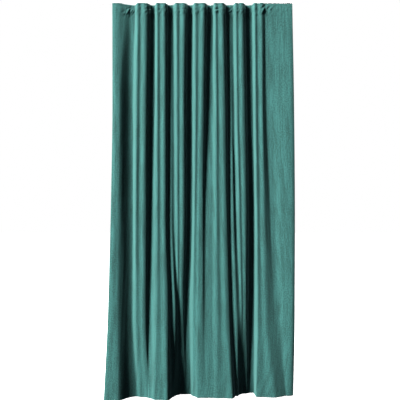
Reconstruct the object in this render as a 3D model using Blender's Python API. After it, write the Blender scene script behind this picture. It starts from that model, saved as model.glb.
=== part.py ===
# A full-length velvet curtain, pleated by its heading tape and hung by glider hooks from a
# plain ceiling track.
# Metres, +Z up. The origin is the middle of the track's top face, X runs along the track and
# the front of the curtain faces -Y.

import bmesh
import bpy
import numpy as np

# Track: an extruded C-section with its slot below
TRACK_LENGTH = 1.2346
TRACK_DEPTH = 0.0240          # front to back
TRACK_HEIGHT = 0.0180
TRACK_WALL = 0.0016
SLOT_WIDTH = 0.0060
CAP_THICKNESS = 0.0024
CAP_TONGUE = 0.0120           # how far a cap reaches into the channel

# Cloth
CLOTH_DROP = 2.450
CLOTH_THICKNESS = 0.0020
HEAD_GAP = 0.0160             # track's underside to the cloth's top edge
REAR_GAP = 0.0115             # slot's centre line to the cloth's front face in a valley
MILLIMETRE = 0.001

# Heading tape, sewn on behind the top edge
TAPE_HEIGHT = 0.075
TAPE_THICKNESS = 0.0012
TAPE_BELOW_EDGE = 0.008
TAPE_SHORT_COLUMNS = 3        # the tape stops at the side hems, this many columns in
TAPE_GAP = 0.0005             # seam thickness between cloth and tape

# Glider hooks: a head in the channel, a stem through the slot and a hook behind the tape
GLIDER_WIDTH = 0.0050
GLIDER_HEAD_DEPTH = 0.0120
GLIDER_HEAD_HEIGHT = 0.0030
GLIDER_STEM_DEPTH = 0.0044
HOOK_TOP_DROP = 0.014         # both measured down from the cloth's top edge
HOOK_FOOT_DROP = 0.030
HOOK_THICKNESS = 0.0016
END_GLIDER_INSET = 0.030

TOUCH_GAP = 0.0003            # kept between pieces that touch

# Heights below the top edge, in metres, at which every fold is placed
STATIONS = (0.0, 0.60, 1.30, 1.95, CLOTH_DROP)

# Heading: pleats and valleys take turns at an even pitch, from the flat dip before pleat 1
PLEAT_PITCH = 0.120
DIP_PLACE = -0.425

# The folds from left to right, in millimetres at the head, chest, waist, knee and hem. Drift is
# how far a fold has moved across from its place in the heading, and stand is how far it is in
# front of the heading's valleys. Turn is how much further forward its right side is at the hem.
FOLDS = (
    # fold         drift                   width                   stand                   turn
    ("dip",        (10, -5, -5, -10, 10),  (10, 10, 10, 15, 40),   (0, -10, -10, 10, 30),   -20),
    ("pleat_1",    (0, -5, -10, -10, 15),  (40, 45, 45, 40, 40),   (45, 45, 45, 45, 35),     10),
    ("valley_1",   (10, 5, -5, -10, -5),   (20, 25, 15, 15, 10),   (0, 0, 5, 20, 55),         5),
    ("pleat_2",    (0, 0, 0, 5, 5),        (40, 40, 40, 50, 70),   (45, 45, 45, 70, 95),     10),
    ("valley_2",   (0, 5, 5, 25, 25),      (25, 30, 35, 40, 25),   (0, 5, 10, 25, 20),      -40),
    ("pleat_3",    (0, 0, 0, -5, 0),       (40, 35, 30, 15, 10),   (45, 45, 35, 5, -20),     -5),
    ("valley_3",   (5, 0, 0, -15, -5),     (20, 25, 25, 20, 15),   (0, 0, -5, -25, -25),      0),
    ("pleat_4",    (0, -5, -15, -20, -25), (45, 35, 25, 30, 30),   (45, 45, 45, 40, 30),     40),
    ("valley_4",   (10, 5, 0, 0, 0),       (30, 35, 40, 40, 50),   (0, 5, 25, 35, 50),        0),
    ("pleat_5",    (0, 5, 10, 20, 35),     (40, 40, 45, 55, 90),   (45, 45, 45, 55, 60),      5),
    ("valley_5",   (10, 20, 30, 50, 60),   (40, 35, 40, 50, 20),   (0, 0, 10, 20, 0),       -20),
    ("pleat_6",    (5, 10, 25, 35, 30),    (35, 30, 30, 20, 15),   (45, 45, 40, 10, -30),   -15),
    ("valley_6",   (10, 20, 30, 30, 35),   (35, 30, 25, 30, 20),   (0, 0, -10, -35, -55),     5),
    ("pleat_7",    (5, 10, 20, 30, 50),    (40, 40, 40, 50, 110),  (45, 45, 45, 40, 40),     10),
    ("valley_7",   (0, 5, 35, 65, 120),    (20, 15, 15, 15, 10),   (30, 25, 20, 20, 10),     -5),
)

# A low ridge runs down the middle of two of the valleys, this far above the valley's floor
RIDGES = {"valley_2": (3, 5, 8, 12, 0), "valley_5": (3, 8, 15, 10, 20)}

# The side panels and edges: place across and stand, at the same stations
SIDES = (
    # line          across                          stand
    ("left_edge",   (-545, -545, -555, -570, -590), (40, 35, 40, 65, 100)),
    ("left_panel",  (-470, -505, -510, -515, -505), (20, 40, 45, 70, 105)),
    ("right_panel", (480, 480, 500, 520, 555),      (30, 30, 35, 35, 10)),
    ("right_edge",  (575, 585, 590, 590, 585),      (30, 35, 40, 40, 0)),
)
SIDE_HEM = 0.021
EDGE_ROLL = (0, 8, 8, 8, 8)   # how far the side hem stands in front of the edge, in millimetres

# A pleat's front: a groove between its two fingers and a shoulder after the right one
GROOVE_PLACE = 0.45
GROOVE_SHARE = 0.20           # of the pleat's width
GROOVE_FADE = (1.0, 1.0, 0.9, 0.6, 0.3)
SHOULDER_ACROSS = 0.50        # share of the way to the next valley
SHOULDER_FALL = 0.20          # share of the way down into it
BROAD_PLEAT = "pleat_7"       # this one runs on in a broad slope to a shallow valley
BROAD_ACROSS = 0.55
BROAD_FALL = 0.50
TURN_EASE = 4                 # folds turn mostly near the hem

# Facets
COLUMNS_PER_LINE = 3
TAPE_ROWS = (TAPE_BELOW_EDGE, TAPE_BELOW_EDGE + TAPE_HEIGHT)
CLOTH_ROWS = (0.0, *TAPE_ROWS, 0.30, 0.55, 0.80, 1.05, 1.30, 1.52, 1.74, 1.95, 2.12, 2.29,
              CLOTH_DROP)

CLOTH_TOP = -TRACK_HEIGHT - HEAD_GAP


def clear_scene():
    for thing in list(bpy.data.objects):
        bpy.data.objects.remove(thing, do_unlink=True)


def make_material(name, colour, roughness, metallic=0.0):
    material = bpy.data.materials.new(name)
    material.use_nodes = True
    shader = material.node_tree.nodes["Principled BSDF"]
    shader.inputs["Base Color"].default_value = (*colour, 1.0)
    shader.inputs["Roughness"].default_value = roughness
    shader.inputs["Metallic"].default_value = metallic
    return material


def make_object(name, bm, material):
    mesh = bpy.data.meshes.new(name)
    bm.to_mesh(mesh)
    bm.free()
    thing = bpy.data.objects.new(name, mesh)
    bpy.context.collection.objects.link(thing)
    thing.data.materials.append(material)
    return thing


def soft_curve(knots, values, at):
    # A cubic through the knots that is level at each ridge and valley and never overshoots
    knots = np.asarray(knots, dtype=float)
    values = np.asarray(values, dtype=float)
    step = np.diff(knots)
    rise = np.diff(values) / step
    slope = np.concatenate(([rise[0]], np.zeros(len(knots) - 2), [rise[-1]]))
    product = rise[:-1] * rise[1:]
    running = product > 0
    slope[1:-1][running] = 2 * product[running] / (rise[:-1] + rise[1:])[running]
    i = np.clip(np.searchsorted(knots, at, side="right") - 1, 0, len(knots) - 2)
    t = (at - knots[i]) / step[i]
    return (values[i] * (1 + 2 * t) * (1 - t) ** 2
            + slope[i] * step[i] * t * (1 - t) ** 2
            + values[i + 1] * (3 - 2 * t) * t ** 2
            + slope[i + 1] * step[i] * (t - 1) * t ** 2)


def at_drop(values, drop):
    return soft_curve(STATIONS, values, drop)


def fold_sides(index, drop):
    # One fold's left and right side at one height, each as (across, forward)
    _, drift, width, stand, turn = FOLDS[index]
    middle = DIP_PLACE + index * PLEAT_PITCH / 2 + at_drop(drift, drop) * MILLIMETRE
    half = at_drop(width, drop) * MILLIMETRE / 2
    forward = at_drop(stand, drop) * MILLIMETRE
    tilt = turn * MILLIMETRE / 2 * (drop / CLOTH_DROP) ** TURN_EASE
    return (middle - half, forward - tilt), (middle + half, forward + tilt)


def between(start, end, share_across, share_forward):
    return (start[0] + (end[0] - start[0]) * share_across,
            start[1] + (end[1] - start[1]) * share_forward)


def lines_at(drop):
    # The fold lines' places across and forward at one height
    side = {name: (at_drop(across, drop) * MILLIMETRE, at_drop(stand, drop) * MILLIMETRE)
            for name, across, stand in SIDES}
    left, right = side["left_edge"], side["right_edge"]
    roll = at_drop(EDGE_ROLL, drop) * MILLIMETRE
    lines = [left, (left[0] + SIDE_HEM, left[1] + roll), side["left_panel"]]
    for index, (name, *_) in enumerate(FOLDS):
        start, end = fold_sides(index, drop)
        lines.append(start)
        if name.startswith("pleat"):
            depth = (end[0] - start[0]) * GROOVE_SHARE * at_drop(GROOVE_FADE, drop)
            across, forward = between(start, end, GROOVE_PLACE, GROOVE_PLACE)
            valley = fold_sides(index + 1, drop)[0]
            broad = name == BROAD_PLEAT
            shoulder = between(end, valley, BROAD_ACROSS if broad else SHOULDER_ACROSS,
                               BROAD_FALL if broad else SHOULDER_FALL)
            lines += [(across, forward - depth), end, shoulder]
        elif name in RIDGES:
            across, forward = between(start, end, 0.5, 0.5)
            rise = at_drop(RIDGES[name], drop) * MILLIMETRE
            lines += [(across, forward + rise), end]
        else:
            lines.append(end)
    lines += [side["right_panel"], (right[0] - SIDE_HEM, right[1] + roll), right]
    return np.array(lines).T


def section(drop, set_back):
    # Points along the cloth at one height, set back at right angles from its front face
    across, forward = lines_at(drop)
    spots = np.arange(COLUMNS_PER_LINE * (len(across) - 1) + 1) / COLUMNS_PER_LINE
    x = np.interp(spots, np.arange(len(across)), across)
    y = -REAR_GAP - soft_curve(across, forward, x)
    along_x = np.gradient(x)
    along_y = np.gradient(y)
    length = np.hypot(along_x, along_y)
    return x - along_y / length * set_back, y + along_x / length * set_back


def hung_sheet(name, drops, near, far, trim, material):
    # A closed sheet that follows the folds, between two distances behind the cloth's front face
    layers = {}
    for set_back in (near, far):
        rows = []
        for drop in drops:
            x, y = section(drop, set_back)
            z = np.full_like(x, CLOTH_TOP - drop)
            rows.append(np.column_stack((x, y, z))[trim:len(x) - trim])
        layers[set_back] = rows
    columns = len(layers[near][0]) - 1
    bm = bmesh.new()
    column_of = bm.verts.layers.int.new("column")
    row_of = bm.verts.layers.int.new("row")
    bmesh.ops.create_grid(bm, x_segments=columns, y_segments=len(drops) - 1, size=1.0)
    for vert in bm.verts:
        vert[column_of] = round((vert.co.x + 1) / 2 * columns)
        vert[row_of] = round((1 - vert.co.y) / 2 * (len(drops) - 1))
    # All quads are split the same way, so that the cloth and the tape behind it stay parallel
    bmesh.ops.triangulate(bm, faces=bm.faces[:], quad_method="FIXED")
    front = list(bm.verts)
    grown = bmesh.ops.extrude_face_region(bm, geom=bm.faces[:])["geom"]
    back = [item for item in grown if isinstance(item, bmesh.types.BMVert)]
    for verts, set_back in ((front, near), (back, far)):
        for vert in verts:
            vert.co = layers[set_back][vert[row_of]][vert[column_of]]
    bmesh.ops.recalc_face_normals(bm, faces=bm.faces[:])
    sheet = make_object(name, bm, material)
    sheet.data.shade_smooth()
    return sheet


def extrude_outline(name, outline, x_from, x_to, material):
    # A flat outline in the YZ plane, extruded along X
    bm = bmesh.new()
    face = bm.faces.new([bm.verts.new((x_from, y, z)) for y, z in outline])
    grown = bmesh.ops.extrude_face_region(bm, geom=[face])["geom"]
    moved = [item for item in grown if isinstance(item, bmesh.types.BMVert)]
    bmesh.ops.translate(bm, verts=moved, vec=(x_to - x_from, 0, 0))
    bmesh.ops.recalc_face_normals(bm, faces=bm.faces[:])
    return make_object(name, bm, material)


def make_track(material):
    side = TRACK_DEPTH / 2
    inner = side - TRACK_WALL
    lip = SLOT_WIDTH / 2
    roof = -TRACK_WALL
    floor = -TRACK_HEIGHT + TRACK_WALL
    outline = [(-side, 0), (side, 0), (side, -TRACK_HEIGHT), (lip, -TRACK_HEIGHT), (lip, floor),
               (inner, floor), (inner, roof), (-inner, roof), (-inner, floor), (-lip, floor),
               (-lip, -TRACK_HEIGHT), (-side, -TRACK_HEIGHT)]
    return extrude_outline("track", outline, -TRACK_LENGTH / 2, TRACK_LENGTH / 2, material)


def make_end_cap(name, side, material):
    # A plate as deep and high as the track, with a tongue that fills the channel
    bm = bmesh.new()
    bmesh.ops.create_cube(bm, size=1.0)
    bmesh.ops.scale(bm, verts=bm.verts, vec=(CAP_THICKNESS, TRACK_DEPTH, TRACK_HEIGHT))
    inner_face = min(bm.faces, key=lambda face: face.calc_center_median().x * side)
    rim = TRACK_WALL + TOUCH_GAP
    bmesh.ops.inset_region(bm, faces=[inner_face], thickness=rim, use_even_offset=True)
    tongue = bmesh.ops.extrude_discrete_faces(bm, faces=[inner_face])["faces"]
    bmesh.ops.translate(bm, verts=tongue[0].verts, vec=(-side * CAP_TONGUE, 0, 0))
    centre_x = side * (TRACK_LENGTH / 2 + TOUCH_GAP + CAP_THICKNESS / 2)
    bmesh.ops.translate(bm, verts=bm.verts, vec=(centre_x, 0, -TRACK_HEIGHT / 2))
    bmesh.ops.remove_doubles(bm, verts=bm.verts, dist=0.00001)
    bmesh.ops.recalc_face_normals(bm, faces=bm.faces[:])
    return make_object(name, bm, material)


def tape_back_at(x, drop):
    # The rearmost point of the heading tape within a glider's width of x
    set_back = CLOTH_THICKNESS + TAPE_GAP + TAPE_THICKNESS
    top_edge, bottom_edge = (np.array(section(row, set_back)) for row in TAPE_ROWS)
    share = (drop - TAPE_BELOW_EDGE) / TAPE_HEIGHT
    tape_x, tape_y = top_edge + (bottom_edge - top_edge) * share
    width = np.linspace(x - GLIDER_WIDTH / 2, x + GLIDER_WIDTH / 2, 9)
    return np.interp(width, tape_x, tape_y).max()


def make_glider(number, x, material):
    head = GLIDER_HEAD_DEPTH / 2
    stem = GLIDER_STEM_DEPTH / 2
    seat = -TRACK_HEIGHT + TRACK_WALL + TOUCH_GAP
    foot = CLOTH_TOP - HOOK_FOOT_DROP
    tip = CLOTH_TOP - HOOK_TOP_DROP
    front = max(tape_back_at(x, HOOK_TOP_DROP), tape_back_at(x, HOOK_FOOT_DROP)) + TOUCH_GAP
    outline = [(-head, seat + GLIDER_HEAD_HEIGHT), (head, seat + GLIDER_HEAD_HEIGHT),
               (head, seat), (stem, seat), (stem, foot), (front, foot), (front, tip),
               (front + HOOK_THICKNESS, tip), (front + HOOK_THICKNESS, foot + HOOK_THICKNESS),
               (-stem, foot + HOOK_THICKNESS), (-stem, seat), (-head, seat)]
    name = f"glider_hook_{number:02d}"
    half = GLIDER_WIDTH / 2
    return extrude_outline(name, outline, x - half, x + half, material)


def glider_places():
    # One behind the dip and each valley of the heading, and one near each side edge
    edges = {name: across[0] * MILLIMETRE for name, across, _ in SIDES}
    hollows = []
    for index, (name, *_) in enumerate(FOLDS):
        if not name.startswith("pleat"):
            start, end = fold_sides(index, 0.0)
            hollows.append((start[0] + end[0]) / 2)
    return [edges["left_edge"] + END_GLIDER_INSET, *hollows, edges["right_edge"] - END_GLIDER_INSET]


def main():
    clear_scene()
    velvet = make_material("teal_velvet", (0.055, 0.235, 0.205), 0.85)
    tape = make_material("white_woven_tape", (0.80, 0.80, 0.78), 0.80)
    enamel = make_material("white_enamelled_aluminium", (0.86, 0.86, 0.86), 0.35)
    nylon = make_material("white_moulded_nylon", (0.82, 0.82, 0.80), 0.40)

    tape_near = CLOTH_THICKNESS + TAPE_GAP
    hung_sheet("velvet_panel", CLOTH_ROWS, 0.0, CLOTH_THICKNESS, 0, velvet)
    hung_sheet("heading_tape", TAPE_ROWS, tape_near, tape_near + TAPE_THICKNESS,
               TAPE_SHORT_COLUMNS, tape)
    make_track(enamel)
    make_end_cap("end_cap_left", -1, nylon)
    make_end_cap("end_cap_right", 1, nylon)
    for number, x in enumerate(glider_places(), start=1):
        make_glider(number, x, nylon)


main()
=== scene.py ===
import math

import bmesh
import bpy
import numpy as np
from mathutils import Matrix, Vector, noise


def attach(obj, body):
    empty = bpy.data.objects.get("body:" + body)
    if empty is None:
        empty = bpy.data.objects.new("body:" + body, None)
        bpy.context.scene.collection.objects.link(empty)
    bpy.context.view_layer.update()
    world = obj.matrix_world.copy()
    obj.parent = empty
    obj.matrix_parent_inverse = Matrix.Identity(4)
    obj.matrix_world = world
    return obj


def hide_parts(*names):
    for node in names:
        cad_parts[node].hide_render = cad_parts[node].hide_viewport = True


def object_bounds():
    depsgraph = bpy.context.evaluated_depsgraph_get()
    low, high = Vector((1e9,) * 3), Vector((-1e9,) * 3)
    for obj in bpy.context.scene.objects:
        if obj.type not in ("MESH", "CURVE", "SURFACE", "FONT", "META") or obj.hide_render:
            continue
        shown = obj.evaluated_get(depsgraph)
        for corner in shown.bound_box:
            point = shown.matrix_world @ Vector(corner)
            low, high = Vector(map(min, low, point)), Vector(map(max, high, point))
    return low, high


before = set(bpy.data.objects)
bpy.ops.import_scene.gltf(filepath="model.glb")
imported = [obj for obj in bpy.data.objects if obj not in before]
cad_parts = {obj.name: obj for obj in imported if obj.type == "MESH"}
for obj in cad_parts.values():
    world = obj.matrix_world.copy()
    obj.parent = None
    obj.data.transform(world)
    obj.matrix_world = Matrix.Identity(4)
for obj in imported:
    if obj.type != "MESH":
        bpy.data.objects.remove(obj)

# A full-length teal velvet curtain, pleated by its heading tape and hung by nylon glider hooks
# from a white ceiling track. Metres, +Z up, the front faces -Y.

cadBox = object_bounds()
mm = 0.001


# Small helpers

def fromHex(code):
    # sRGB hex to the linear colour that a shader takes
    parts = [int(code[i:i + 2], 16) / 255 for i in (1, 3, 5)]
    return (*[p / 12.92 if p <= 0.04045 else ((p + 0.055) / 1.055) ** 2.4 for p in parts], 1.0)


def addNode(tree, kind, settings=None, links=None):
    # settings go to an input of that name, or else to the node itself
    node = tree.nodes.new(kind)
    for name, value in (settings or {}).items():
        if isinstance(name, int) or name in node.inputs:
            node.inputs[name].default_value = value
        else:
            setattr(node, name, value)
    for name, source in (links or {}).items():
        tree.links.new(source, node.inputs[name])
    return node


def startMaterial(name, constants):
    # constants are the same all over the surface, so they go straight on the shader
    material = bpy.data.materials.new(name)
    material.use_nodes = True
    shader = material.node_tree.nodes["Principled BSDF"]
    for socket, value in constants.items():
        shader.inputs[socket].default_value = value
    return material, material.node_tree, shader


def colourRamp(tree, source, stops):
    ramp = addNode(tree, "ShaderNodeValToRGB", links={"Fac": source})
    ramp.color_ramp.elements[0].position = stops[0][0]
    ramp.color_ramp.elements[0].color = fromHex(stops[0][1])
    ramp.color_ramp.elements[1].position = stops[-1][0]
    ramp.color_ramp.elements[1].color = fromHex(stops[-1][1])
    for place, code in stops[1:-1]:
        ramp.color_ramp.elements.new(place).color = fromHex(code)
    return ramp.outputs["Color"]


def addObject(name, mesh, materials):
    piece = bpy.data.objects.new(name, mesh)
    bpy.context.scene.collection.objects.link(piece)
    for material in materials:
        mesh.materials.append(material)
    return piece


def softCurve(knots, values, at):
    # A cubic through the knots, level at each high and low point, that never overshoots
    knots = np.asarray(knots, dtype=float)
    values = np.asarray(values, dtype=float)
    step = np.diff(knots)
    rise = np.diff(values) / step
    slope = np.concatenate(([rise[0]], np.zeros(len(knots) - 2), [rise[-1]]))
    product = rise[:-1] * rise[1:]
    running = product > 0
    slope[1:-1][running] = 2 * product[running] / (rise[:-1] + rise[1:])[running]
    i = np.clip(np.searchsorted(knots, at, side="right") - 1, 0, len(knots) - 2)
    t = (at - knots[i]) / step[i]
    return (values[i] * (1 + 2 * t) * (1 - t) ** 2
            + slope[i] * step[i] * t * (1 - t) ** 2
            + values[i + 1] * (3 - 2 * t) * t ** 2
            + slope[i + 1] * step[i] * (t - 1) * t ** 2)


# How the cloth hangs

curtain = {
    "drop": 2.450,
    "underTrack": 0.034,      # track's top face to the cloth's top edge
    "behindZero": 0.0115,     # slot's centre line to the cloth's front face in a valley
    "stations": (0.0, 0.60, 1.30, 1.95, 2.45),    # heights below the top edge
    "columnWidth": 0.0041,    # about this much cloth to a column of the mesh
    "rows": ((0.0, 0.12, 44), (0.12, 2.37, 60), (2.37, 2.45, 28)),
    "flat": (1.50, 2.52),     # width, and drop with its turned top and hem
    "pile": 0.0014,           # greatest thickness, at the hems
    "bodyShare": 0.72,        # thickness away from the hems, as a share of that
    "bottomHem": 0.030,
    "sideHem": 0.021,
    "topTurn": 0.012,
    "leastStep": 0.05 * mm,    # between columns, in the tightest folds
    "passes": 60,             # most times that a doubled row is eased
    "easing": (0.25, 0.5, 0.25),
}

# The folds from left to right, in mm at the stations. Drift is how far a fold has moved across
# from its even place in the heading, stand is how far it is in front of the heading's valleys,
# and turn is how much further forward its right side is at the hem.
folds = (
    # fold         drift                   width                   stand                   turn
    ("dip",        (10, -5, -5, -10, 10),  (10, 10, 10, 15, 40),   (0, -10, -10, 10, 30),   -20),
    ("pleat1",     (0, -5, -10, -10, 15),  (40, 45, 45, 40, 40),   (45, 45, 45, 45, 35),     10),
    ("valley1",    (10, 5, -5, -10, -5),   (20, 25, 15, 15, 10),   (0, 0, 5, 20, 55),         5),
    ("pleat2",     (0, 0, 0, 5, 5),        (40, 40, 40, 50, 70),   (45, 45, 45, 70, 95),     10),
    ("valley2",    (0, 5, 5, 25, 25),      (25, 30, 35, 40, 25),   (0, 5, 10, 25, 20),      -40),
    ("pleat3",     (0, 0, 0, -5, 0),       (40, 35, 30, 15, 10),   (45, 45, 35, 5, -20),     -5),
    ("valley3",    (5, 0, 0, -15, -5),     (20, 25, 25, 20, 15),   (0, 0, -5, -25, -25),      0),
    ("pleat4",     (0, -5, -15, -20, -25), (45, 35, 25, 30, 30),   (45, 45, 45, 40, 30),     40),
    ("valley4",    (10, 5, 0, 0, 0),       (30, 35, 40, 40, 50),   (0, 5, 25, 35, 50),        0),
    ("pleat5",     (0, 5, 10, 20, 35),     (40, 40, 45, 55, 90),   (45, 45, 45, 55, 60),      5),
    ("valley5",    (10, 20, 30, 50, 60),   (40, 35, 40, 50, 20),   (0, 0, 10, 20, 0),       -20),
    ("pleat6",     (5, 10, 25, 35, 30),    (35, 30, 30, 20, 15),   (45, 45, 40, 10, -30),   -15),
    ("valley6",    (10, 20, 30, 30, 35),   (35, 30, 25, 30, 20),   (0, 0, -10, -35, -55),     5),
    ("pleat7",     (5, 10, 20, 30, 50),    (40, 40, 40, 50, 110),  (45, 45, 45, 40, 40),     10),
    ("valley7",    (0, 5, 35, 65, 120),    (20, 15, 15, 15, 10),   (30, 25, 20, 20, 10),     -5),
)

# A low ridge runs down the middle of two of the valleys, this far above the valley's floor
ridges = {"valley2": (3, 5, 8, 12, 0), "valley5": (3, 8, 15, 10, 20)}

# The side panels and edges: place across and stand, at the same stations
sides = (
    # line          across                          stand
    ("leftEdge",    (-545, -545, -555, -570, -590), (40, 35, 40, 65, 100)),
    ("leftPanel",   (-470, -505, -510, -515, -505), (20, 40, 45, 70, 105)),
    ("rightPanel",  (480, 480, 500, 520, 555),      (30, 30, 35, 35, 10)),
    ("rightEdge",   (575, 585, 590, 590, 585),      (30, 35, 40, 40, 0)),
)
heading = {"pitch": 0.120, "dip": -0.425}
edgeRoll = (0, 8, 8, 8, 8)    # how far the side hem stands in front of the edge, in mm
pleatFront = {                # a groove between two fingers, and a shoulder after the right one
    "groovePlace": 0.45,
    "grooveShare": 0.20,      # of the pleat's width
    "grooveFade": (1.0, 1.0, 0.9, 0.6, 0.3),
    "shoulderAcross": 0.50,
    "shoulderFall": 0.20,
    "broadPleat": "pleat7",   # this one runs on in a broad slope to a shallow valley
    "broadAcross": 0.55,
    "broadFall": 0.50,
    "turnEase": 4,            # folds turn mostly near the hem
}


def atDrop(values, drop):
    return softCurve(curtain["stations"], values, drop)


def foldSides(index, drop):
    # One fold's left and right side at one height, each as (across, forward)
    _, drift, width, stand, turn = folds[index]
    middle = heading["dip"] + index * heading["pitch"] / 2 + atDrop(drift, drop) * mm
    half = atDrop(width, drop) * mm / 2
    forward = atDrop(stand, drop) * mm
    tilt = turn * mm / 2 * (drop / curtain["drop"]) ** pleatFront["turnEase"]
    return (middle - half, forward - tilt), (middle + half, forward + tilt)


def between(start, end, shareAcross, shareForward):
    return (start[0] + (end[0] - start[0]) * shareAcross,
            start[1] + (end[1] - start[1]) * shareForward)


def linesAt(drop):
    # The fold lines' places across and forward at one height
    side = {name: (atDrop(across, drop) * mm, atDrop(stand, drop) * mm)
            for name, across, stand in sides}
    left, right = side["leftEdge"], side["rightEdge"]
    roll = atDrop(edgeRoll, drop) * mm
    lines = [left, (left[0] + curtain["sideHem"], left[1] + roll), side["leftPanel"]]
    for index, (name, *_) in enumerate(folds):
        start, end = foldSides(index, drop)
        lines.append(start)
        if name.startswith("pleat"):
            fade = atDrop(pleatFront["grooveFade"], drop)
            depth = (end[0] - start[0]) * pleatFront["grooveShare"] * fade
            across, forward = between(start, end, pleatFront["groovePlace"], pleatFront["groovePlace"])
            valley = foldSides(index + 1, drop)[0]
            kind = "broad" if name == pleatFront["broadPleat"] else "shoulder"
            shoulder = between(end, valley, pleatFront[kind + "Across"], pleatFront[kind + "Fall"])
            lines += [(across, forward - depth), end, shoulder]
        elif name in ridges:
            across, forward = between(start, end, 0.5, 0.5)
            lines += [(across, forward + atDrop(ridges[name], drop) * mm), end]
        else:
            lines.append(end)
    lines += [side["rightPanel"], (right[0] - curtain["sideHem"], right[1] + roll), right]
    return np.array(lines).T


def spreadColumns():
    # Columns keep to the fold lines, and share out the cloth between them
    across, forward = linesAt(curtain["stations"][2])
    cloth = np.hypot(np.diff(across), np.diff(forward))
    counts = np.maximum(3, np.round(cloth / curtain["columnWidth"])).astype(int)
    return np.concatenate([i + np.arange(n) / n for i, n in enumerate(counts)] + [[len(counts)]])


columns = spreadColumns()
rowDrops = np.concatenate([np.linspace(top, bottom, n, endpoint=False)
                           for top, bottom, n in curtain["rows"]] + [[curtain["drop"]]])


def plainRow(drop):
    # The cloth's front face at one height: place, outward direction and length along the cloth
    across, forward = linesAt(drop)
    x = np.interp(columns, np.arange(len(across)), across)
    y = -curtain["behindZero"] - softCurve(across, forward, x)
    alongX = np.gradient(x)
    alongY = np.gradient(y)
    length = np.hypot(alongX, alongY)
    cloth = np.concatenate(([0.0], np.cumsum(np.hypot(np.diff(x), np.diff(y)))))
    return x, y, alongY / length, -alongX / length, cloth


# Puckers where the tape gathers the cloth: place across, half width, and how deep, in mm.
# They only come forward, so the cloth stays clear of the tape behind it.
puckers = (
    # where              across  half width  deepest
    ("besideFirstPleat", -435,   30,         7.0),
    ("inFifthValley",     192,   18,         9.0),
    ("inSixthValley",     305,   15,         9.0),
    ("besideLastPleat",   420,   28,         8.0),
    ("alongHeading",        0,   600,        8.5),
)
gather = {
    "middle": 0.040,          # below the top edge
    "reach": 0.030,
    "length": 0.014,          # from one crease to the next, along the cloth
    "slant": 0.5,
    "seed": 12.4,
    "faintest": 0.01,         # share of full depth where the creases stop
    "heldDown": 0.20,         # the tape keeps the cloth even, fading out down to here
}
stitching = {"rows": (0.012, 0.079), "hem": 2.420, "width": 0.0022, "depth": 0.0005}
slubs = (    # long soft ripples in the cloth: size along the cloth, down the drop, and height
    {"along": 0.045, "down": 0.90, "height": 0.0009, "seed": 3.1},
    {"along": 0.017, "down": 0.55, "height": 0.0006, "seed": 7.7},
)


def relief(x, cloth, drop):
    # How far puckers, stitching and unevenness lift the front face, in metres
    lift = np.zeros_like(x)
    near = math.exp(-((drop - gather["middle"]) / gather["reach"]) ** 2)
    loose = min(1.0, drop / gather["heldDown"])
    pull = sum(depth * np.exp(-((x / mm - middle) / halfWidth) ** 2)
               for _, middle, halfWidth, depth in puckers) * near * mm
    for i, place in enumerate(cloth):
        for slub in slubs:
            spot = Vector((place / slub["along"], drop / slub["down"], slub["seed"]))
            lift[i] += slub["height"] * noise.noise(spot) * loose
        if near > gather["faintest"]:
            slanted = place + drop * gather["slant"]
            spot = Vector((slanted / gather["length"], drop / gather["reach"], gather["seed"]))
            lift[i] += pull[i] * abs(noise.noise(spot))
    for line in (*stitching["rows"], stitching["hem"]):
        lift -= stitching["depth"] * math.exp(-((drop - line) / stitching["width"]) ** 2)
    return lift


def movedRow(row, lift, drop, leastStep):
    # A row moved out from the plain cloth. Where that makes it double back in a tight fold,
    # its points close up until it runs forward again.
    x, y, outX, outY, _ = row
    movedX, movedY = x + outX * lift, y + outY * lift
    for _ in range(curtain["passes"]):
        doubled = np.diff(movedY) * outX[:-1] - np.diff(movedX) * outY[:-1] <= leastStep
        if not doubled.any():
            break
        near = np.zeros(len(x), dtype=bool)
        near[:-1] |= doubled
        near[1:] |= doubled
        near[[0, -1]] = False
        for moved in (movedX, movedY):
            moved[near] = np.convolve(moved, curtain["easing"], mode="same")[near]
    return np.column_stack((movedX, movedY, np.full_like(x, -curtain["underTrack"] - drop)))


def hangRows(drops):
    rows = []
    for drop in drops:
        row = plainRow(drop)
        lift = relief(row[0], row[4], drop)
        rows.append((movedRow(row, lift, drop, curtain["leastStep"]), row[4]))
    return rows


def hungMesh(name, rows, drops, keep):
    # A grid whose every vertex is moved to its hung place, with a flat UV map in metres
    first, last = keep
    bm = bmesh.new()
    across = last - first - 1
    down = len(rows) - 1
    bmesh.ops.create_grid(bm, x_segments=across, y_segments=down, size=1.0)
    column = bm.verts.layers.int.new("column")
    row = bm.verts.layers.int.new("row")
    for vert in bm.verts:
        vert[column] = first + round((vert.co.x + 1) / 2 * across)
        vert[row] = round((1 - vert.co.y) / 2 * down)
    flatMap = bm.loops.layers.uv.new("flat")
    for face in bm.faces:
        for loop in face.loops:
            spot = loop.vert
            loop[flatMap].uv = (rows[spot[row]][1][spot[column]], -drops[spot[row]])
    for vert in bm.verts:
        vert.co = rows[vert[row]][0][vert[column]]
    bm.normal_update()
    if sum(face.normal.y for face in bm.faces) > 0:
        bmesh.ops.reverse_faces(bm, faces=bm.faces[:])
    mesh = bpy.data.meshes.new(name)
    bm.to_mesh(mesh)
    bm.free()
    mesh.shade_smooth()
    return mesh


# Velvet

velvetLook = {
    "dark": "#1B3936",
    "light": "#2E5B57",
    "darkAt": 0.61,
    "lightAt": 0.74,
    "streakScale": (190, 6, 1),      # about 5 mm across, 170 mm down
    "mottleScale": (34, 4, 1),       # about 30 mm across, 250 mm down
    "grainScale": 165.0,             # about 6 mm
    "streakShare": 0.30,
    "mottleShare": 0.33,
    "grainShare": 0.72,
    "bumpStrength": 0.22,
    "bumpDistance": 0.006,
    "sheen": 0.90,
    "sheenRoughness": 0.5,
    "sheenTint": "#88CEC6",
}


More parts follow.
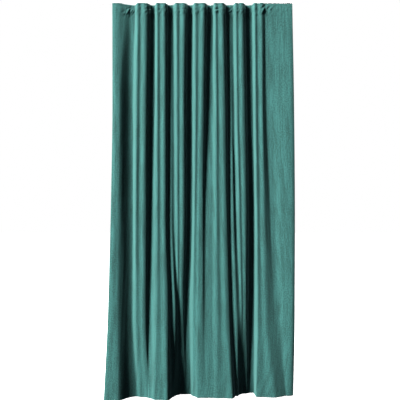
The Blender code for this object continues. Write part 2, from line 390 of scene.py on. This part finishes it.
def velvetMaterial():
    # Cut-pile polyester velvet, dyed teal: matt, with a soft bloom where the pile is seen
    # edge on, and light and dark streaks down the drop where the pile has been brushed
    material, tree, shader = startMaterial("tealCutPileVelvet", {
        "Roughness": 0.85,
        "Specular IOR Level": 0.12,
        "Sheen Weight": velvetLook["sheen"],
        "Sheen Roughness": velvetLook["sheenRoughness"],
        "Sheen Tint": fromHex(velvetLook["sheenTint"]),
    })
    place = addNode(tree, "ShaderNodeUVMap", {"uv_map": "flat"})
    # real pile is far under a millimetre, so its streaks and grain are drawn at 5 to 6 mm
    streakMap = addNode(tree, "ShaderNodeMapping", {"Scale": velvetLook["streakScale"]},
                        {"Vector": place.outputs["UV"]})
    streaks = addNode(tree, "ShaderNodeTexNoise", {"Scale": 1.0, "Detail": 3.0, "Roughness": 0.6},
                      {"Vector": streakMap.outputs["Vector"]})
    mottleMap = addNode(tree, "ShaderNodeMapping", {"Scale": velvetLook["mottleScale"]},
                        {"Vector": place.outputs["UV"]})
    mottle = addNode(tree, "ShaderNodeTexNoise", {"Scale": 1.0, "Detail": 4.0, "Roughness": 0.62},
                     {"Vector": mottleMap.outputs["Vector"]})
    grain = addNode(tree, "ShaderNodeTexNoise",
                    {"Scale": velvetLook["grainScale"], "Detail": 2.0, "Roughness": 0.7},
                    {"Vector": place.outputs["UV"]})
    streaked = addNode(tree, "ShaderNodeMath",
                       {"operation": "MULTIPLY_ADD", 1: velvetLook["streakShare"], 2: 0.0},
                       {0: streaks.outputs["Fac"]})
    mottled = addNode(tree, "ShaderNodeMath", {"operation": "MULTIPLY_ADD", 1: velvetLook["mottleShare"]},
                      {0: mottle.outputs["Fac"], 2: streaked.outputs[0]})
    pileTone = addNode(tree, "ShaderNodeMath", {"operation": "MULTIPLY_ADD", 1: velvetLook["grainShare"]},
                       {0: grain.outputs["Fac"], 2: mottled.outputs[0]})
    colour = colourRamp(tree, pileTone.outputs[0], ((velvetLook["darkAt"], velvetLook["dark"]),
                                                    (velvetLook["lightAt"], velvetLook["light"])))
    tree.links.new(colour, shader.inputs["Base Color"])
    bump = addNode(tree, "ShaderNodeBump",
                   {"Strength": velvetLook["bumpStrength"], "Distance": velvetLook["bumpDistance"]},
                   {"Height": pileTone.outputs[0]})
    tree.links.new(bump.outputs["Normal"], shader.inputs["Normal"])
    return material


def reverseMaterial():
    # The velvet's woven back: the same dye, flatter and duller, with fine upright ribs
    material, tree, shader = startMaterial("velvetGroundWeave", {
        "Roughness": 0.95,
        "Specular IOR Level": 0.15,
    })
    place = addNode(tree, "ShaderNodeUVMap", {"uv_map": "flat"})
    # the real weave is finer than a millimetre, and is drawn about 3 mm apart
    ribs = addNode(tree, "ShaderNodeTexWave", {"wave_type": "BANDS", "bands_direction": "X", "Scale": 105.0,
                                               "Distortion": 1.5, "Detail": 2.0},
                   {"Vector": place.outputs["UV"]})
    blotch = addNode(tree, "ShaderNodeTexNoise", {"Scale": 30.0, "Detail": 4.0},
                     {"Vector": place.outputs["UV"]})
    mixed = addNode(tree, "ShaderNodeMath", {"operation": "MULTIPLY_ADD", 1: 0.25},
                    {0: ribs.outputs["Fac"], 2: blotch.outputs["Fac"]})
    colour = colourRamp(tree, mixed.outputs[0], ((0.3, "#2F6F6B"), (0.9, "#4A8C87")))
    tree.links.new(colour, shader.inputs["Base Color"])
    bump = addNode(tree, "ShaderNodeBump", {"Strength": 0.4, "Distance": 0.0008},
                   {"Height": ribs.outputs["Fac"]})
    tree.links.new(bump.outputs["Normal"], shader.inputs["Normal"])
    return material


def makeCurtain():
    rows = hangRows(rowDrops)
    mesh = hungMesh("velvetCurtain", rows, rowDrops, (0, len(columns)))
    piece = addObject("velvetCurtain", mesh, [velvetMaterial(), reverseMaterial()])
    # Thicker where the hems are turned
    width = rows[0][1][-1]
    hems = piece.vertex_groups.new(name="hems")
    uv = mesh.uv_layers["flat"].data
    seen = {}
    for loop in mesh.loops:
        seen[loop.vertex_index] = uv[loop.index].uv
    turned = []
    plain = []
    for index, (along, down) in seen.items():
        inHem = (-down > curtain["drop"] - curtain["bottomHem"] or -down < curtain["topTurn"]
                 or along < curtain["sideHem"] or along > width - curtain["sideHem"])
        (turned if inHem else plain).append(index)
    hems.add(turned, 1.0, "REPLACE")
    hems.add(plain, curtain["bodyShare"], "REPLACE")
    wall = piece.modifiers.new("thickness", "SOLIDIFY")
    wall.thickness = curtain["pile"]
    wall.offset = -1.0
    wall.vertex_group = "hems"
    wall.material_offset = 1
    wall.material_offset_rim = 0
    return piece


velvetCurtain = makeCurtain()
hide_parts("velvet_panel")
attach(velvetCurtain, "root")
velvetCurtain.visible_diffuse = False    # deep pile swallows the light between its folds
print("velvet hung:", len(velvetCurtain.data.polygons), "faces")


# Heading tape

tape = {
    "fromEdge": 0.008,
    "height": 0.075,
    "rows": 51,
    "setBack": 0.0022,
    "thickness": 0.0008,
    "leastStep": 0.0010,      # between columns, in the tightest folds
    "cordDrops": (0.022, 0.068),     # the two woven-in draw cords
    "cordWidth": 0.0018,
    "cordRise": 0.0009,
    "pockets": (0.030, 0.050),       # a band of pockets between them
    "pocketPitch": 0.020,
    "pocketRise": 0.0008,
}


def tapeMaterial():
    # White woven polyester tape: matt, with upright ribs that catch a little light
    material, tree, shader = startMaterial("whiteWovenTape", {
        "Roughness": 0.85,
        "Specular IOR Level": 0.25,
    })
    place = addNode(tree, "ShaderNodeUVMap", {"uv_map": "flat"})
    # real ribs are about a millimetre apart, and are drawn about 2.5 mm apart
    ribs = addNode(tree, "ShaderNodeTexWave", {"wave_type": "BANDS", "bands_direction": "X", "Scale": 125.0,
                                               "Distortion": 0.6},
                   {"Vector": place.outputs["UV"]})
    colour = colourRamp(tree, ribs.outputs["Fac"], ((0.2, "#D6D5D0"), (0.8, "#F1F0EC")))
    tree.links.new(colour, shader.inputs["Base Color"])
    bump = addNode(tree, "ShaderNodeBump", {"Strength": 0.5, "Distance": 0.0006},
                   {"Height": ribs.outputs["Fac"]})
    tree.links.new(bump.outputs["Normal"], shader.inputs["Normal"])
    return material


def tapeRise(cloth, drop):
    # How far the cords and pockets stand out behind the tape's plain weave
    rise = np.zeros_like(cloth)
    for cord in tape["cordDrops"]:
        rise += tape["cordRise"] * math.exp(-((drop - cord) / tape["cordWidth"]) ** 2)
    top, bottom = tape["pockets"]
    if top <= drop <= bottom:
        seams = np.abs(np.sin(math.pi * cloth / tape["pocketPitch"]))
        rise += tape["pocketRise"] * np.minimum(1.0, seams * 2)
    return rise


def makeTape():
    drops = np.linspace(tape["fromEdge"], tape["fromEdge"] + tape["height"], tape["rows"])
    rows = []
    for drop in drops:
        row = plainRow(drop)
        back = -tape["setBack"] - tapeRise(row[4], drop)
        rows.append((movedRow(row, back, drop, tape["leastStep"]), row[4]))
    hemLines = (1, len(linesAt(0.0)[0]) - 2)
    first, last = (int(np.searchsorted(columns, line)) for line in hemLines)
    mesh = hungMesh("headingTape", rows, drops, (first, last + 1))
    piece = addObject("headingTape", mesh, [tapeMaterial()])
    wall = piece.modifiers.new("thickness", "SOLIDIFY")
    wall.thickness = tape["thickness"]
    wall.offset = -1.0
    return piece


headingTape = makeTape()
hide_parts("heading_tape")
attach(headingTape, "root")
print("tape sewn on")


# Track, end caps and gliders

def enamelMaterial():
    # White polyester enamel sprayed on extruded aluminium: smooth and satin, with the faint lengthwise
    # lines of the die
    material, tree, shader = startMaterial("whiteEnamelledAluminium", {
        "Roughness": 0.35,
        "Specular IOR Level": 0.5,
    })
    place = addNode(tree, "ShaderNodeTexCoord")
    # real die lines are finer, and are drawn about 1 mm apart
    lines = addNode(tree, "ShaderNodeMapping", {"Scale": (3, 900, 900)},
                    {"Vector": place.outputs["Object"]})
    drawn = addNode(tree, "ShaderNodeTexNoise", {"Scale": 1.0, "Detail": 2.0},
                    {"Vector": lines.outputs["Vector"]})
    colour = colourRamp(tree, drawn.outputs["Fac"], ((0.3, "#E9E9E8"), (0.7, "#F4F4F3")))
    tree.links.new(colour, shader.inputs["Base Color"])
    bump = addNode(tree, "ShaderNodeBump", {"Strength": 0.15, "Distance": 0.0002},
                   {"Height": drawn.outputs["Fac"]})
    tree.links.new(bump.outputs["Normal"], shader.inputs["Normal"])
    return material


def nylonMaterial():
    # White moulded nylon 6: slightly translucent, satin, a little uneven from the mould
    material, tree, shader = startMaterial("whiteMouldedNylon", {
        "Roughness": 0.42,
        "IOR": 1.53,
        "Subsurface Weight": 0.15,
        "Subsurface Radius": (0.003, 0.003, 0.003),
        "Subsurface Scale": 1.0,
    })
    place = addNode(tree, "ShaderNodeTexCoord")
    cloud = addNode(tree, "ShaderNodeTexNoise", {"Scale": 260.0, "Detail": 3.0},
                    {"Vector": place.outputs["Object"]})
    colour = colourRamp(tree, cloud.outputs["Fac"], ((0.3, "#E4E4E0"), (0.7, "#F0F0ED")))
    tree.links.new(colour, shader.inputs["Base Color"])
    bump = addNode(tree, "ShaderNodeBump", {"Strength": 0.2, "Distance": 0.0002},
                   {"Height": cloud.outputs["Fac"]})
    tree.links.new(bump.outputs["Normal"], shader.inputs["Normal"])
    return material


hardware = {
    "trackEdge": 0.0004,
    "capEdge": 0.0006,
    "gliderEdge": 0.0003,
    "bevelSegments": 2,
    "mergeWithin": 0.01 * mm,
    "flatWithin": math.radians(1),
    "sharpAbove": math.radians(30),
    "shadeSharpAbove": math.radians(50),
}


def roundedCopy(nodeName, name, radius, material):
    # A copy of a CAD piece with its loose triangles merged and its edges rounded
    bm = bmesh.new()
    bm.from_mesh(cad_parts[nodeName].data)
    bmesh.ops.remove_doubles(bm, verts=bm.verts, dist=hardware["mergeWithin"])
    bmesh.ops.dissolve_limit(bm, angle_limit=hardware["flatWithin"], verts=bm.verts, edges=bm.edges)
    sharp = [edge for edge in bm.edges if edge.calc_face_angle(0.0) > hardware["sharpAbove"]]
    bmesh.ops.bevel(bm, geom=sharp, offset=radius, segments=hardware["bevelSegments"], profile=0.5,
                    affect="EDGES", clamp_overlap=True, material=-1)
    bmesh.ops.recalc_face_normals(bm, faces=bm.faces)
    mesh = bpy.data.meshes.new(name)
    bm.to_mesh(mesh)
    bm.free()
    piece = addObject(name, mesh, [material])
    mesh.shade_smooth()
    mesh.set_sharp_from_angle(angle=hardware["shadeSharpAbove"])
    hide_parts(nodeName)
    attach(piece, "root")
    return piece


enamel = enamelMaterial()
nylon = nylonMaterial()
track = roundedCopy("track", "ceilingTrack", hardware["trackEdge"], enamel)
hardwarePieces = [track]
for side in ("left", "right"):
    cap = roundedCopy(f"end_cap_{side}", f"{side}EndCap", hardware["capEdge"], nylon)
    hardwarePieces.append(cap)
gliderNodes = sorted(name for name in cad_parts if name.startswith("glider_hook"))
for number, nodeName in enumerate(gliderNodes, start=1):
    glider = roundedCopy(nodeName, f"gliderHook{number:02d}", hardware["gliderEdge"], nylon)
    hardwarePieces.append(glider)
print("track and", len(gliderNodes), "gliders")


# Studio

studio = {
    "hemToFloor": 0.016,
    "eyeHeight": -1.2566,     # level with the middle of the curtain
    "eyeDistance": 4.035,
    "lens": 57.7,
    "sensor": 36,
    "floorReach": 20.0,
    "fillColour": (1.0, 0.82, 1.0),
}

# Where each lamp stands around the curtain: degrees to the left of the camera, degrees up,
# metres away, its side in metres and its watts
lamps = (
    # lamp             angle  height  distance  size  power
    ("keyLight",         52,    28,     12.0,    3.0,  6500),
    ("fillLight",       -10,     5,      5.0,    2.0,    19),    # faint, down into the folds
    ("hardwareBounce",    0,    -8,      4.0,    1.0,   900),    # lifts the track's underside
    ("backLight",      -125,    30,      5.0,    3.0,   230),
    ("sideLight",       118,    10,      5.0,    2.0,   120),    # for the back, seen from the left
)


def areaLight(name, angle, height, distance, size, power):
    light = bpy.data.lights.new(name, "AREA")
    light.shape = "SQUARE"
    light.size = size
    light.energy = power
    lamp = bpy.data.objects.new(name, light)
    bpy.context.scene.collection.objects.link(lamp)
    around, up = math.radians(angle), math.radians(height)
    aim = Vector((0, 0, studio["eyeHeight"]))
    back = Vector((-math.sin(around) * math.cos(up), -math.cos(around) * math.cos(up), math.sin(up)))
    lamp.location = aim + back * distance
    lamp.rotation_euler = back.to_track_quat("Z", "Y").to_euler()
    lamp.visible_camera = False
    return lamp


def setStudio():
    floorMaterial, tree, shader = startMaterial("paleFloor", {
        "Roughness": 0.9,
        "Specular IOR Level": 0.0,
        "Emission Color": (1, 1, 1, 1),
        "Emission Strength": 1.0,
    })
    haze = addNode(tree, "ShaderNodeTexNoise", {"Scale": 0.6},
                   {"Vector": addNode(tree, "ShaderNodeTexCoord").outputs["Object"]})
    tree.links.new(colourRamp(tree, haze.outputs["Fac"], ((0.3, "#F2F2F2"), (0.7, "#F6F6F6"))),
                   shader.inputs["Base Color"])
    bm = bmesh.new()
    bmesh.ops.create_grid(bm, x_segments=1, y_segments=1, size=studio["floorReach"])
    floorHeight = cadBox[0].z - studio["hemToFloor"]
    bmesh.ops.translate(bm, verts=bm.verts, vec=(0, 0, floorHeight))
    mesh = bpy.data.meshes.new("floor")
    bm.to_mesh(mesh)
    bm.free()
    floor = addObject("floor", mesh, [floorMaterial])
    floor.visible_diffuse = False
    floor.visible_glossy = False

    world = bpy.data.worlds.new("whiteRoom")
    world.use_nodes = True
    world.node_tree.nodes["Background"].inputs["Color"].default_value = (1, 1, 1, 1)
    world.cycles_visibility.diffuse = False
    world.cycles_visibility.glossy = False
    bpy.context.scene.world = world
    bpy.context.scene.view_settings.view_transform = "Standard"

    hung = {name: areaLight(name, *settings) for name, *settings in lamps}
    hung["fillLight"].data.color = studio["fillColour"]
    lit = bpy.data.collections.new("hardwareOnly")
    for piece in hardwarePieces:
        lit.objects.link(piece)
    hung["hardwareBounce"].light_linking.receiver_collection = lit

    camera = bpy.data.cameras.new("camera")
    camera.sensor_width = studio["sensor"]
    camera.lens = studio["lens"]
    eye = bpy.data.objects.new("camera", camera)
    bpy.context.scene.collection.objects.link(eye)
    eye.location = (0, -studio["eyeDistance"], studio["eyeHeight"])
    eye.rotation_euler = (math.radians(90), 0, 0)
    bpy.context.scene.camera = eye


setStudio()
print("studio set")
